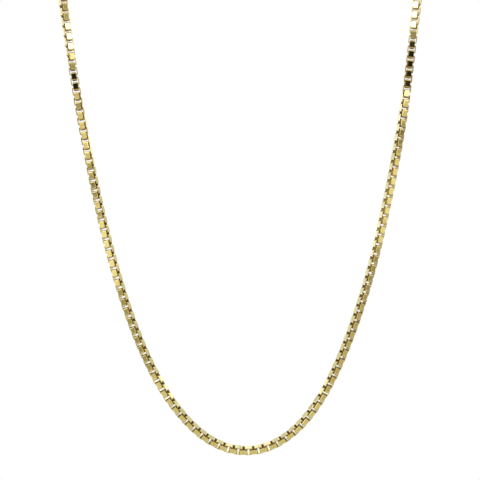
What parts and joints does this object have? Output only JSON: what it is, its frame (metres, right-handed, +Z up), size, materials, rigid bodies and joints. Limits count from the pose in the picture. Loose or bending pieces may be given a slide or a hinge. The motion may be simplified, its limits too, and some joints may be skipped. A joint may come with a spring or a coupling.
{
  "type": "box chain necklace",
  "caption": "Plain box chain necklace of interlocking square strip links, worn round the neck as one loop and closed by a clasp behind.",
  "frame": {"origin": "middle of the clasp's seat at the nape, where the loop hangs on the back of the neck", "axes": "+Z up, -Y the way that the wearer faces, +X to the right as seen from in front"},
  "size_m": [0.106, 0.0952, 0.174],
  "materials": {
    "chain_metal": "polished yellow gold",
    "clasp_metal": "polished yellow gold"
  },
  "bodies": {
    "root": {"chain_links": "chain_metal", "chain_back": "chain_metal", "clasp": "clasp_metal"}
  },
  "joints": []
}
